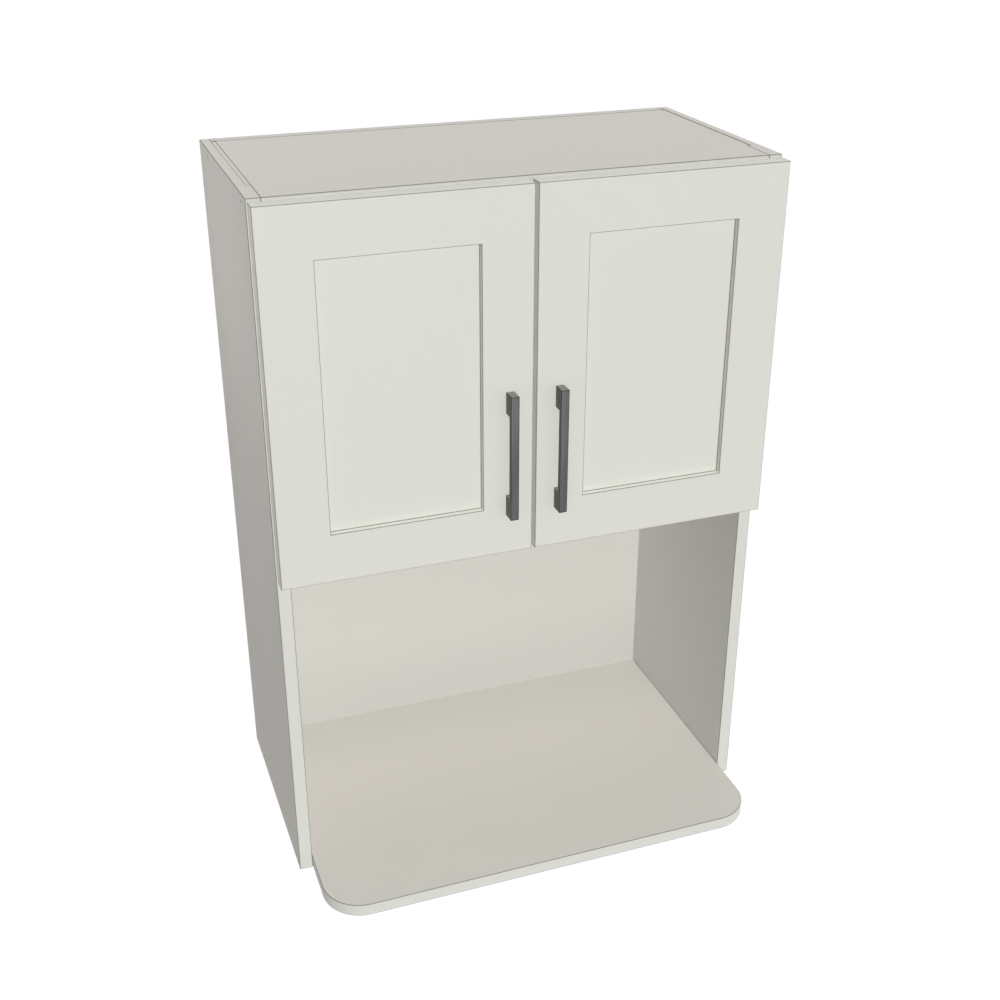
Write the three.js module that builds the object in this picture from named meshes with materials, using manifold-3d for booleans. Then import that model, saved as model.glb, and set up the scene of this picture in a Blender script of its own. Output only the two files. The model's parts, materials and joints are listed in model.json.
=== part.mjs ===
// A wall cabinet for a microwave oven: a cupboard with two framed doors above an open nook, whose
// floor is a shelf that reaches out in front of the cabinet.
//
// Millimetres. +X is to the right, +Y towards the wall, +Z up. Every piece is drawn with the wall
// plane at y = 0 and the underside at z = 0; the whole group is then lowered, so that the origin
// ends up on the back panel's rear face, at the height where the cabinet hangs on the wall.
import * as THREE from "three";
import { mergeVertices } from "three/addons/utils/BufferGeometryUtils.js";
import Module from "manifold-3d";

// ---------------------------------------------------------------- driving dimensions

// The box
const CABINET_WIDTH = 610;
const CABINET_HEIGHT = 863;
const CABINET_DEPTH = 300; // the side panels, from the wall to their front edges
const SIDE_THICKNESS = 16.5;
const SHELF_THICKNESS = 16.5; // top panel, fixed shelf, microwave shelf and adjustable shelf
const BACK_THICKNESS = 16.5;
const NOOK_TOP = 423; // underside of the fixed shelf, over the cabinet's underside
const HANGING_DROP = 60; // the hanging line, below the cabinet's top

// The shelf that the oven stands on
const SHELF_PROJECTION = 108; // past the side panels' front edges
const SHELF_CORNER_RADIUS = 50;

// Housings: the boards' ends are let into the side panels
const HOUSING_DEPTH = 5.5;
const HOUSING_STOP = 54; // how far behind the front edge a housing stops
const TONGUE_STEP = 0.6; // the tongue is this much shallower than its board, on each face

// Doors
const DOOR_THICKNESS = 19;
const DOOR_REVEAL_SIDE = 1.5; // from the cabinet's side to the door's edge
const DOOR_REVEAL_TOP = 3.4;
const DOOR_CENTRE_GAP = 4.1;
const DOOR_BACK_GAP = 3; // between the door's back and the cabinet's front
const FRAME_WIDTH = 60.4; // stiles and rails
const PANEL_THICKNESS = 6;
const PANEL_RECESS = 7.5; // the panel's face, behind the frame's face
const GROOVE_DEPTH = 10;
const PANEL_ROOM = 1; // left at the bottom of the groove for the panel to move
const GROOVE_STOP = 12; // how far from its ends a stile's groove stops

// Pulls
const PULL_LENGTH = 154;
const PULL_WIDTH = 10;
const PULL_STANDOFF = 18; // the pull's front face, in front of the door
const PULL_BAR_THICKNESS = 6.5;
const PULL_LEG_LENGTH = 26; // so the screws are 128 apart
const PULL_EDGE_DISTANCE = 28; // the pull's centre line, from the door's meeting edge
const PULL_RISE = 50.5; // the pull's lower end, over the door's lower edge
const PULL_SCREW_RADIUS = 2;
const PULL_SCREW_HEAD_RADIUS = 4;
const PULL_SCREW_HEAD_HEIGHT = 2;
const PULL_SCREW_BITE = 9; // how far the screw reaches into the leg

// Concealed hinges
const HINGE_INSET = 90; // the cup's centre, from the door's upper or lower edge
const PIVOT_EDGE_DISTANCE = 7.5; // the pin, from the door's hinge edge
const PIVOT_DEPTH = 9.5; // the pin, in front of the door's back
const CUP_RADIUS = 17.5;
const CUP_EDGE_DISTANCE = 4; // from the cup's rim to the door's hinge edge
const CUP_WALL = 1;
const CUP_DEPTH = 12.5;
const CUP_FLANGE_THICKNESS = 1;
const CUP_FLANGE_WIDTH = 15;
const CUP_FLANGE_LENGTH = 56;
const PIN_RADIUS = 1;
const KNUCKLE_RADIUS = 1.6;
const ARM_STRIP_THICKNESS = 1.2;
const ARM_STRIP_WIDTH = 9;
const ARM_REACH = 14; // from the pin to the strip that leaves the cup
const ARM_BODY_WIDTH = 12;
const ARM_BODY_HEIGHT = 5.5;
const ARM_BODY_LENGTH = 48;
const ARM_BODY_SETBACK = 1.5; // behind the side panel's front edge
const PLATE_THICKNESS = 2.2;
const PLATE_WIDTH = 18;
const PLATE_LENGTH = 44; // up and down the side panel
const PLATE_SETBACK = 37; // its centre, behind the side panel's front edge
const PLATE_RIB_SETBACK = 4; // from each end of the arm's body

// Adjustable shelf on pins
const PIN_HOLE_RADIUS = 2.5;
const PIN_HOLE_DEPTH = 11;
const PIN_HOLE_PITCH = 32;
const PIN_HOLE_COUNT = 5;
const PIN_HOLE_FRONT = 37; // the front column, behind the side panel's front edge
const PIN_HOLE_REAR = 60; // the rear column, in front of the wall
const PIN_LENGTH_IN_HOLE = 9;
const PIN_COLLAR_RADIUS = 4;
const PIN_COLLAR_THICKNESS = 1;
const PIN_TAB = { reach: 8, width: 7, height: 3 };
const LOOSE_SHELF_SIDE_GAP = 1.5;
const LOOSE_SHELF_FRONT_GAP = 22;
const LOOSE_SHELF_BACK_GAP = 3;

// Assembly screws through the side panels
const SCREW_LENGTH = 45;
const SCREW_RADIUS = 2;
const SCREW_HEAD_RADIUS = 3;
const SCREW_HEAD_DEPTH = 3;
const SCREW_POINT = 4;
const SCREW_SUNK = 0.2; // the head, below the side panel's face
const SCREW_FRONT = 23.5; // the front screws, behind the side panel's front edge
const SCREW_REAR = 61; // the rear screws of each board, in front of the wall
const BACK_SCREW_BOTTOM = 63; // the lowest and highest screws into the back panel's edges
const BACK_SCREW_TOP = 51;

// Clearances and edges
const FIT = 0.1; // between pieces that are glued or pressed together
const SCREW_FIT = 0.15; // around a screw, a shelf pin or the hinge's pin
const EDGE_RADIUS = 0.7; // the boards' eased edges
const DOOR_EDGE_RADIUS = 1.1;
const PULL_EDGE_RADIUS = 0.6;

// Sides of the polygons that stand for circles, and steps of the shelf's rounded corners
const SCREW_SIDES = 10;
const PIN_SIDES = 12;
const ROD_SIDES = 16;
const CUP_SIDES = 32;
const SHELF_CORNER_STEPS = 16;

const OVERCUT = 1; // how far a cutter reaches past the face that it opens
const WELD = 1e-4; // corners closer than this are one corner

// ---------------------------------------------------------------- worked-out places

const halfWidth = CABINET_WIDTH / 2;
const innerHalf = halfWidth - SIDE_THICKNESS;
const frontY = -CABINET_DEPTH;
const backFaceY = -BACK_THICKNESS; // the back panel's face towards the room
const topUndersideZ = CABINET_HEIGHT - SHELF_THICKNESS;
const cupboardFloorZ = NOOK_TOP + SHELF_THICKNESS;
const cupboardMiddleZ = (cupboardFloorZ + topUndersideZ) / 2;

const door = {
  x: [DOOR_CENTRE_GAP / 2, halfWidth - DOOR_REVEAL_SIDE],
  y: [frontY - DOOR_BACK_GAP - DOOR_THICKNESS, frontY - DOOR_BACK_GAP],
  z: [NOOK_TOP, CABINET_HEIGHT - DOOR_REVEAL_TOP],
};
const pivotX = door.x[1] - PIVOT_EDGE_DISTANCE;
const pivotY = door.y[1] - PIVOT_DEPTH;
const cupX = door.x[1] - CUP_EDGE_DISTANCE - CUP_RADIUS;
const hingeHeights = { lower: door.z[0] + HINGE_INSET, upper: door.z[1] - HINGE_INSET };

const pullX = door.x[0] + PULL_EDGE_DISTANCE;
const pullZ = [door.z[0] + PULL_RISE, door.z[0] + PULL_RISE + PULL_LENGTH];
const pullScrewHeights = {
  lower: pullZ[0] + PULL_LEG_LENGTH / 2,
  upper: pullZ[1] - PULL_LEG_LENGTH / 2,
};

const shelfPinColumns = { front: frontY + PIN_HOLE_FRONT, rear: -PIN_HOLE_REAR };
const shelfPinZ = cupboardMiddleZ;

// ---------------------------------------------------------------- solids

const manifold = await Module();
manifold.setup();

// A closed three.js geometry as a solid that can be cut and joined.
function solid(geometry) {
  geometry.deleteAttribute("normal");
  geometry.deleteAttribute("uv");
  const merged = mergeVertices(geometry, WELD);
  const mesh = new manifold.Mesh({
    numProp: 3,
    vertProperties: merged.attributes.position.array,
    triVerts: new Uint32Array(merged.index.array),
  });
  return new manifold.Manifold(mesh);
}

function box([x0, x1], [y0, y1], [z0, z1]) {
  const geometry = new THREE.BoxGeometry(x1 - x0, y1 - y0, z1 - z0);
  return solid(geometry.translate((x0 + x1) / 2, (y0 + y1) / 2, (z0 + z1) / 2));
}

// A rectangle with rounded corners, from one corner to the other.
function roundedRectangle([x0, x1], [y0, y1], radius) {
  return new THREE.Shape()
    .absarc(x1 - radius, y1 - radius, radius, 0, Math.PI / 2)
    .absarc(x0 + radius, y1 - radius, radius, Math.PI / 2, Math.PI)
    .absarc(x0 + radius, y0 + radius, radius, Math.PI, 1.5 * Math.PI)
    .absarc(x1 - radius, y0 + radius, radius, 1.5 * Math.PI, 2 * Math.PI);
}

// A shape in the XY plane, given a thickness along Z, with its rims eased.
function slab(shape, [z0, z1], edge, curveSegments) {
  const geometry = new THREE.ExtrudeGeometry(shape, {
    depth: z1 - z0 - 2 * edge,
    bevelThickness: edge,
    bevelSize: edge,
    bevelOffset: -edge,
    bevelSegments: 2,
    curveSegments,
  });
  return solid(geometry.translate(0, 0, z0 + edge));
}

// A box whose edges are all eased. Its upright corners are a little rounder than its rims, so that
// the rims' easing leaves them some roundness.
function easedBox(x, y, z, edge) {
  return slab(roundedRectangle(x, y, 1.25 * edge), z, edge, 2);
}

// A turned piece: a profile of [radius, height] pairs spun about an axis through `at`. The profile
// starts and ends on the axis, at heights counted along `direction`.
const DIRECTIONS = {
  x: (geometry) => geometry.rotateZ(-Math.PI / 2),
  y: (geometry) => geometry,
  z: (geometry) => geometry.rotateX(Math.PI / 2),
};
function turned(profile, direction, at, sides) {
  const points = profile.map(([radius, height]) => new THREE.Vector2(radius, height));
  const geometry = DIRECTIONS[direction](new THREE.LatheGeometry(points, sides));
  return solid(geometry.translate(...at));
}

function rod(radius, length, direction, at, sides = ROD_SIDES) {
  const profile = [[0, 0], [radius, 0], [radius, length], [0, length]];
  return turned(profile, direction, at, sides);
}

const grown = ([low, high], by) => [low - by, high + by];
const around = (centre, width) => grown([centre, centre], width / 2);
const joined = (first, ...rest) => rest.reduce((whole, piece) => whole.add(piece), first);
const cut = (first, ...rest) => rest.reduce((whole, piece) => whole.subtract(piece), first);

// ---------------------------------------------------------------- materials

const paint = new THREE.MeshStandardMaterial({ color: 0xdcddd5, roughness: 0.45 });
const darkMetal = new THREE.MeshStandardMaterial({ color: 0x5f5f5d, roughness: 0.4, metalness: 0.6 });
const nickel = new THREE.MeshStandardMaterial({ color: 0xb9b7b1, roughness: 0.3, metalness: 1 });
const zincPlate = new THREE.MeshStandardMaterial({ color: 0x8f8f8c, roughness: 0.4, metalness: 1 });

function mesh(name, shape, material) {
  const { numProp, numVert, triVerts, vertProperties } = shape.getMesh();
  if (numProp !== 3 || numVert === 0) throw new Error(name + " came out empty");
  const geometry = new THREE.BufferGeometry();
  geometry.setAttribute("position", new THREE.BufferAttribute(vertProperties, 3));
  geometry.setIndex(new THREE.BufferAttribute(triVerts, 1));
  geometry.computeVertexNormals();
  const made = new THREE.Mesh(geometry, material);
  made.name = name;
  return made;
}

// ---------------------------------------------------------------- assembly screws

// Heights and places of the screws that go through each side panel, by name.
const boardHeights = {
  bottom: SHELF_THICKNESS / 2,
  middle: NOOK_TOP + SHELF_THICKNESS / 2,
  top: CABINET_HEIGHT - SHELF_THICKNESS / 2,
};
const backScrewHeights = {
  bottom: BACK_SCREW_BOTTOM,
  middle: (BACK_SCREW_BOTTOM + CABINET_HEIGHT - BACK_SCREW_TOP) / 2,
  top: CABINET_HEIGHT - BACK_SCREW_TOP,
};

function screwPlaces() {
  const places = {};
  for (const level of ["bottom", "middle", "top"]) {
    places[`${level}_front`] = { y: frontY + SCREW_FRONT, z: boardHeights[level] };
    places[`${level}_rear`] = { y: -SCREW_REAR, z: boardHeights[level] };
    places[`back_${level}`] = { y: backFaceY / 2, z: backScrewHeights[level] };
  }
  return places;
}

// A countersunk screw that points inwards from the right side panel's outer face. The same outline,
// grown by its clearance, makes its hole.
function assemblyScrew({ y, z }, clearance) {
  const head = SCREW_HEAD_RADIUS + clearance;
  const shank = SCREW_RADIUS + clearance;
  const tip = -SCREW_LENGTH - clearance;
  const profile = [
    [0, tip],
    [shank, tip + SCREW_POINT],
    [shank, -SCREW_HEAD_DEPTH],
    [head, 0],
    [0, 0],
  ];
  return turned(profile, "x", [halfWidth - SCREW_SUNK, y, z], SCREW_SIDES);
}

function assemblyScrewHole(place) {
  const mouth = SCREW_HEAD_RADIUS + SCREW_FIT;
  return joined(
    assemblyScrew(place, SCREW_FIT),
    rod(mouth, OVERCUT, "x", [halfWidth - SCREW_SUNK - FIT, place.y, place.z], SCREW_SIDES),
  );
}

const screwHoles = Object.values(screwPlaces()).map(assemblyScrewHole);
const mirror = (shape) => shape.mirror([1, 0, 0]);
const screwHolesBothSides = [...screwHoles, ...screwHoles.map(mirror)];

// ---------------------------------------------------------------- the box's boards

const housingY = [frontY + HOUSING_STOP, backFaceY - FIT];
const tongueEnd = innerHalf + HOUSING_DEPTH;

// A board between the side panels: its body, and a tongue that is let into both of them.
function housedBoard(body, [z0, z1]) {
  const tongueZ = [z0 + TONGUE_STEP, z1 - TONGUE_STEP];
  const tongues = box([-tongueEnd, tongueEnd], housingY, tongueZ);
  return cut(joined(body, tongues), ...screwHolesBothSides);
}

function plainBoard(z) {
  const x = [FIT - innerHalf, innerHalf - FIT];
  return housedBoard(easedBox(x, [frontY, backFaceY - FIT], z, EDGE_RADIUS), z);
}

// The shelf under the oven has two rounded corners in front.
function microwaveShelfBoard() {
  const x = innerHalf - FIT;
  const front = frontY - SHELF_PROJECTION;
  const cornerX = x - SHELF_CORNER_RADIUS;
  const cornerY = front + SHELF_CORNER_RADIUS;
  const outline = new THREE.Shape()
    .moveTo(x, backFaceY - FIT)
    .lineTo(-x, backFaceY - FIT)
    .lineTo(-x, cornerY)
    .absarc(-cornerX, cornerY, SHELF_CORNER_RADIUS, Math.PI, 1.5 * Math.PI)
    .absarc(cornerX, cornerY, SHELF_CORNER_RADIUS, 1.5 * Math.PI, 2 * Math.PI);
  const z = [0, SHELF_THICKNESS];
  return housedBoard(slab(outline, z, EDGE_RADIUS, SHELF_CORNER_STEPS), z);
}

function backPanelBoard() {
  const board = easedBox([-tongueEnd, tongueEnd], [backFaceY, 0], [0, CABINET_HEIGHT], EDGE_RADIUS);
  return cut(board, ...screwHolesBothSides);
}

function looseShelfBoard() {
  const half = innerHalf - LOOSE_SHELF_SIDE_GAP;
  const y = [frontY + LOOSE_SHELF_FRONT_GAP, backFaceY - LOOSE_SHELF_BACK_GAP];
  const z0 = shelfPinZ + PIN_HOLE_RADIUS;
  return easedBox([-half, half], y, [z0, z0 + SHELF_THICKNESS], EDGE_RADIUS);
}

// The right side panel, with a housing for each board, one for the back panel, the screws' holes
// and two columns of shelf-pin holes.
function sidePanelBoard() {
  const board = easedBox([innerHalf, halfWidth], [frontY, 0], [0, CABINET_HEIGHT], EDGE_RADIUS);
  const depth = [innerHalf - OVERCUT, tongueEnd + FIT];
  const boardY = grown(housingY, FIT);
  const housings = Object.values(boardHeights).map((z) => {
    const half = SHELF_THICKNESS / 2 - TONGUE_STEP + FIT;
    return box(depth, boardY, [z - half, z + half]);
  });
  const openRims = [
    box(depth, boardY, [-OVERCUT, SHELF_THICKNESS / 2]),
    box(depth, boardY, [CABINET_HEIGHT - SHELF_THICKNESS / 2, CABINET_HEIGHT + OVERCUT]),
  ];
  const backHousing = box(depth, [backFaceY - FIT, OVERCUT], grown([0, CABINET_HEIGHT], OVERCUT));
  return cut(board, ...housings, ...openRims, backHousing, ...screwHoles, ...shelfPinHoles());
}

// ---------------------------------------------------------------- shelf pins

function shelfPinHoles() {
  const holes = [];
  const length = PIN_HOLE_DEPTH + OVERCUT;
  for (const y of Object.values(shelfPinColumns)) {
    for (let i = 0; i < PIN_HOLE_COUNT; i++) {
      const z = cupboardMiddleZ + (i - (PIN_HOLE_COUNT - 1) / 2) * PIN_HOLE_PITCH;
      holes.push(rod(PIN_HOLE_RADIUS, length, "x", [innerHalf - OVERCUT, y, z], SCREW_SIDES));
    }
  }
  return holes;
}

// A shelf pin in the right side panel: a peg in its hole, a collar against the panel, and a tab
// whose flat top carries the shelf.
function shelfPin(y) {
  const collarX = innerHalf - FIT - PIN_COLLAR_THICKNESS;
  const top = shelfPinZ + PIN_HOLE_RADIUS - FIT;
  const tabX = [innerHalf - FIT - PIN_TAB.reach, innerHalf - FIT];
  const tab = box(tabX, around(y, PIN_TAB.width), [top - PIN_TAB.height, top]);
  const pegLength = PIN_COLLAR_THICKNESS + FIT + PIN_LENGTH_IN_HOLE;
  const peg = rod(PIN_HOLE_RADIUS - SCREW_FIT, pegLength, "x", [collarX, y, shelfPinZ], SCREW_SIDES);
  const collar = rod(PIN_COLLAR_RADIUS, PIN_COLLAR_THICKNESS, "x", [collarX, y, shelfPinZ]);
  const reach = PIN_COLLAR_RADIUS + OVERCUT;
  const aboveTab = box(grown(tabX, OVERCUT), around(y, 2 * reach), [top, top + reach]);
  return joined(cut(collar, aboveTab), tab, peg);
}

// ---------------------------------------------------------------- the right-hand door

const stileInnerX = {
  meeting: door.x[0] + FRAME_WIDTH,
  hinge: door.x[1] - FRAME_WIDTH,
};
const openingZ = [door.z[0] + FRAME_WIDTH, door.z[1] - FRAME_WIDTH];
const panelY = [door.y[0] + PANEL_RECESS, door.y[0] + PANEL_RECESS + PANEL_THICKNESS];
const grooveY = grown(panelY, FIT);

// The whole door's outline with eased edges: each frame piece is kept inside it.
const doorEnvelope = easedBox(door.x, door.y, door.z, DOOR_EDGE_RADIUS);

function meetingStile() {
  const blank = box([door.x[0], stileInnerX.meeting], door.y, door.z).intersect(doorEnvelope);
  const grooveX = [stileInnerX.meeting - GROOVE_DEPTH, stileInnerX.meeting + OVERCUT];
  const groove = box(grooveX, grooveY, grown(door.z, -GROOVE_STOP));
  const holes = Object.values(pullScrewHeights).map((z) => pullScrew(z, SCREW_FIT));
  return cut(blank, groove, ...holes);
}

function hingeStile() {
  const blank = box([stileInnerX.hinge, door.x[1]], door.y, door.z).intersect(doorEnvelope);
  const grooveX = [stileInnerX.hinge - OVERCUT, stileInnerX.hinge + GROOVE_DEPTH];
  const groove = box(grooveX, grooveY, grown(door.z, -GROOVE_STOP));
  const cupHoles = Object.values(hingeHeights).map((z) => {
    const depth = CUP_DEPTH + FIT;
    const at = [cupX, door.y[1] - depth, z];
    return rod(CUP_RADIUS + FIT, depth + OVERCUT, "y", at, CUP_SIDES);
  });
  return cut(blank, groove, ...cupHoles);
}

// A rail, with a tongue at each end that fills the stiles' grooves, and a groove of its own along
// the edge that faces the panel.
function rail(z, panelEdge) {
  const x = [stileInnerX.meeting + FIT, stileInnerX.hinge - FIT];
  const blank = box(x, door.y, z).intersect(doorEnvelope);
  const tongue = box(grown(x, GROOVE_DEPTH - PANEL_ROOM), panelY, grown(z, -GROOVE_STOP - FIT));
  const groove = box(grown(x, GROOVE_DEPTH), grooveY, around(panelEdge, 2 * GROOVE_DEPTH));
  return cut(joined(blank, tongue), groove);
}

function doorPanel() {
  const inGroove = GROOVE_DEPTH - PANEL_ROOM;
  const x = grown([stileInnerX.meeting, stileInnerX.hinge], inGroove);
  return box(x, panelY, grown(openingZ, inGroove));
}

// ---------------------------------------------------------------- pull and its screws

// A square bar on two legs, cut from one block, with a blind hole for a screw in each leg.
function pull() {
  const y = [door.y[0] - PULL_STANDOFF, door.y[0] - FIT];
  const block = easedBox(around(pullX, PULL_WIDTH), y, pullZ, PULL_EDGE_RADIUS);
  const fingerGap = box(
    around(pullX, PULL_WIDTH + 2 * OVERCUT),
    [y[0] + PULL_BAR_THICKNESS, door.y[0] + OVERCUT],
    grown(pullZ, -PULL_LEG_LENGTH),
  );
  const holes = Object.values(pullScrewHeights).map((z) => pullScrew(z, SCREW_FIT));
  return cut(block, fingerGap, ...holes);
}

// A pan-head screw from inside the door. Its outline, grown by its clearance, makes its hole.
function pullScrew(z, clearance) {
  const tip = door.y[0] - PULL_SCREW_BITE - clearance;
  const seat = door.y[1] + FIT;
  const length = seat - tip;
  const shank = PULL_SCREW_RADIUS + clearance;
  const head = PULL_SCREW_HEAD_RADIUS;
  const profile = [
    [0, 0],
    [shank, 0],
    [shank, length],
    [head, length],
    [head, length + PULL_SCREW_HEAD_HEIGHT / 2],
    [head / 2, length + PULL_SCREW_HEAD_HEIGHT],
    [0, length + PULL_SCREW_HEAD_HEIGHT],
  ];
  return turned(profile, "y", [pullX, tip, z], ROD_SIDES);
}

// ---------------------------------------------------------------- the right-hand concealed hinge

// The cup that is let into the door, with its flange on the door's back and its pin across it.
function hingeCup(z) {
  const bottomY = door.y[1] - CUP_DEPTH;
  const flangeTop = door.y[1] + FIT + CUP_FLANGE_THICKNESS;
  const outside = rod(CUP_RADIUS, flangeTop - bottomY, "y", [cupX, bottomY, z], CUP_SIDES);
  const flange = box(
    around(cupX, CUP_FLANGE_WIDTH),
    [door.y[1] + FIT, flangeTop],
    around(z, CUP_FLANGE_LENGTH),
  );
  const floorY = bottomY + CUP_WALL;
  const hollowDepth = flangeTop - floorY + OVERCUT;
  const inside = rod(CUP_RADIUS - CUP_WALL, hollowDepth, "y", [cupX, floorY, z], CUP_SIDES);
  const pinHalf = Math.sqrt((CUP_RADIUS - CUP_WALL / 2) ** 2 - (pivotX + PIN_RADIUS - cupX) ** 2);
  const pin = rod(PIN_RADIUS, 2 * pinHalf, "z", [pivotX, pivotY, z - pinHalf], PIN_SIDES);
  return joined(cut(joined(outside, flange), inside), pin);
}

const stripX = [pivotX - ARM_REACH, pivotX - ARM_REACH + ARM_STRIP_THICKNESS];
const plateX = [innerHalf - FIT - PLATE_THICKNESS, innerHalf - FIT];
const armBodyX = [plateX[0] - FIT - ARM_BODY_HEIGHT, plateX[0] - FIT];
const armBodyY = [frontY + ARM_BODY_SETBACK, frontY + ARM_BODY_SETBACK + ARM_BODY_LENGTH];

// The cranked arm: a knuckle round the pin, a strip across the cup, the strip's other leg out of
// the cup past the side panel's front edge, and the arm's body over the mounting plate.
function hingeArm(z) {
  const stripY = around(pivotY, ARM_STRIP_THICKNESS);
  const stripZ = around(z, ARM_STRIP_WIDTH);
  const knuckle = rod(KNUCKLE_RADIUS, ARM_STRIP_WIDTH, "z", [pivotX, pivotY, stripZ[0]]);
  const boreAt = [pivotX, pivotY, stripZ[0] - OVERCUT];
  const bore = rod(PIN_RADIUS + SCREW_FIT, ARM_STRIP_WIDTH + 2 * OVERCUT, "z", boreAt, PIN_SIDES);
  const across = box([stripX[0], pivotX - PIN_RADIUS], stripY, stripZ);
  const outwards = box(stripX, [stripY[0], armBodyY[0] + ARM_STRIP_THICKNESS], stripZ);
  const body = box(armBodyX, armBodyY, around(z, ARM_BODY_WIDTH));
  return joined(cut(joined(knuckle, across), bore), outwards, body);
}

// The mounting plate: two wings up and down the side panel, and a rib under the arm's body.
function hingePlate(z) {
  const wings = box(plateX, around(frontY + PLATE_SETBACK, PLATE_WIDTH), around(z, PLATE_LENGTH));
  const rib = box(plateX, grown(armBodyY, -PLATE_RIB_SETBACK), around(z, ARM_BODY_WIDTH));
  return joined(wings, rib);
}

// ---------------------------------------------------------------- the assembly

// The pieces of the cabinet's right half; the left half is their mirror image.
function handedPieces(side) {
  const group = new THREE.Group();
  const add = (name, shape, material) => group.add(mesh(name, shape, material));

  add(`side_panel_${side}`, sidePanelBoard(), paint);
  for (const [place, where] of Object.entries(screwPlaces())) {
    add(`side_screw_${side}_${place}`, assemblyScrew(where, 0), zincPlate);
  }
  for (const [column, y] of Object.entries(shelfPinColumns)) {
    add(`shelf_pin_${side}_${column}`, shelfPin(y), nickel);
  }

  add(`door_${side}_meeting_stile`, meetingStile(), paint);
  add(`door_${side}_hinge_stile`, hingeStile(), paint);
  add(`door_${side}_bottom_rail`, rail([door.z[0], openingZ[0]], openingZ[0]), paint);
  add(`door_${side}_top_rail`, rail([openingZ[1], door.z[1]], openingZ[1]), paint);
  add(`door_${side}_panel`, doorPanel(), paint);

  add(`pull_${side}`, pull(), darkMetal);
  for (const [level, z] of Object.entries(pullScrewHeights)) {
    add(`pull_screw_${side}_${level}`, pullScrew(z, 0), zincPlate);
  }
  for (const [level, z] of Object.entries(hingeHeights)) {
    add(`hinge_cup_${side}_${level}`, hingeCup(z), nickel);
    add(`hinge_arm_${side}_${level}`, hingeArm(z), nickel);
    add(`hinge_plate_${side}_${level}`, hingePlate(z), nickel);
  }
  return group;
}

const rightHalf = handedPieces("right");
const leftHalf = handedPieces("left");
leftHalf.scale.x = -1;

const cabinet = new THREE.Group();
cabinet.add(
  mesh("top_panel", plainBoard([topUndersideZ, CABINET_HEIGHT]), paint),
  mesh("fixed_shelf", plainBoard([NOOK_TOP, cupboardFloorZ]), paint),
  mesh("microwave_shelf", microwaveShelfBoard(), paint),
  mesh("back_panel", backPanelBoard(), paint),
  mesh("adjustable_shelf", looseShelfBoard(), paint),
  rightHalf,
  leftHalf,
);
cabinet.position.z = HANGING_DROP - CABINET_HEIGHT;

export default cabinet;
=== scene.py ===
# %% [markdown]
# # A wall cabinet for a microwave oven
# The cabinet is a box of coated boards. Two framed doors close its upper half, and the lower half
# is an open nook whose floor reaches out in front. The construction arrives finished, as one mesh
# for each board, door piece and fitting. This lesson gives every surface its finish, swaps the
# small hardware for finely made pieces, and lights the whole like a catalogue picture.

# %% Load the construction
import json
import math

import bmesh
import bpy
from mathutils import Matrix, Vector


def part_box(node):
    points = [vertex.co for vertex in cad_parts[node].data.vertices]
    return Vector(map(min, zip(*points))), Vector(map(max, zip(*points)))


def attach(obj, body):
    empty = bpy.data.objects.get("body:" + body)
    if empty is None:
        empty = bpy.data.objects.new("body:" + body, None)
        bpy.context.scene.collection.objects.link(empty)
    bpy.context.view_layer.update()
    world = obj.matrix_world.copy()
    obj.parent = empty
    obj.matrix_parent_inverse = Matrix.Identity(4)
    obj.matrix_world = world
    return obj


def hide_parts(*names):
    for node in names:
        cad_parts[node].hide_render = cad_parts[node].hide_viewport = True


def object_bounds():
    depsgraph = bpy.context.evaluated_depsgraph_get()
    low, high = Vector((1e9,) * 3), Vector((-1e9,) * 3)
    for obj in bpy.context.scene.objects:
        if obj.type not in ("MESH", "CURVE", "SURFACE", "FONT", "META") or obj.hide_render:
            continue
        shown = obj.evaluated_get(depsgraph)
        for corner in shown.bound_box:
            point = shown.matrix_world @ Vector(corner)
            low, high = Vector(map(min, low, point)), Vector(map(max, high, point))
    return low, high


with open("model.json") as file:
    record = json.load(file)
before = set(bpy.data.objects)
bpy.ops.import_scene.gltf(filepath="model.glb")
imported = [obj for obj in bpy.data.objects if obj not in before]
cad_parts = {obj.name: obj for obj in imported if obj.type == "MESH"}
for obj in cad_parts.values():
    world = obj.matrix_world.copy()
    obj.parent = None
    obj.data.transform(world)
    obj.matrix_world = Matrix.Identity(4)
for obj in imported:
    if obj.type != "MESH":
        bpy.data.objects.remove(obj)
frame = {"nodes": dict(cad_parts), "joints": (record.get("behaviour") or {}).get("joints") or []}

CONSTRUCTION_BOX = [list(corner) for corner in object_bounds()]
MM = 0.001
SIDES = ("left", "right")
LEVELS = ("lower", "upper")


def box_centre(node):
    low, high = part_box(node)
    return (low + high) / 2


print("nodes:", len(frame["nodes"]), "box:", CONSTRUCTION_BOX)

# %% [markdown]
# ## The camera
# The picture was taken from the left and from above, with the cabinet's uprights running together
# downwards. A camera could be placed by eye, but the edges of a box give its place exactly: eye
# point, direction and angle of view were fitted to some thirty of them. The lens follows from the
# angle of view, and nothing is shifted.

# %% Place the camera
EYE = Vector((-0.5214, -1.6681, 0.4006))
AZIMUTH = -19.60
ELEVATION = 26.416
VIEW_ANGLE = 40


def direction(azimuth, elevation):
    """The way from the object to an eye or a lamp at these angles, in degrees."""
    azimuth, elevation = math.radians(azimuth), math.radians(elevation)
    level = math.cos(elevation)
    return Vector((math.sin(azimuth) * level, -math.cos(azimuth) * level, math.sin(elevation)))


def bring_in(name, data, at=(0, 0, 0), facing=None):
    """Puts a new object into the scene. A camera or lamp looks away from where it faces."""
    made = bpy.data.objects.new(name, data)
    made.location = at
    if facing is not None:
        made.rotation_mode = "QUATERNION"
        made.rotation_quaternion = facing.to_track_quat("Z", "Y")
    scene.collection.objects.link(made)
    return made


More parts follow.
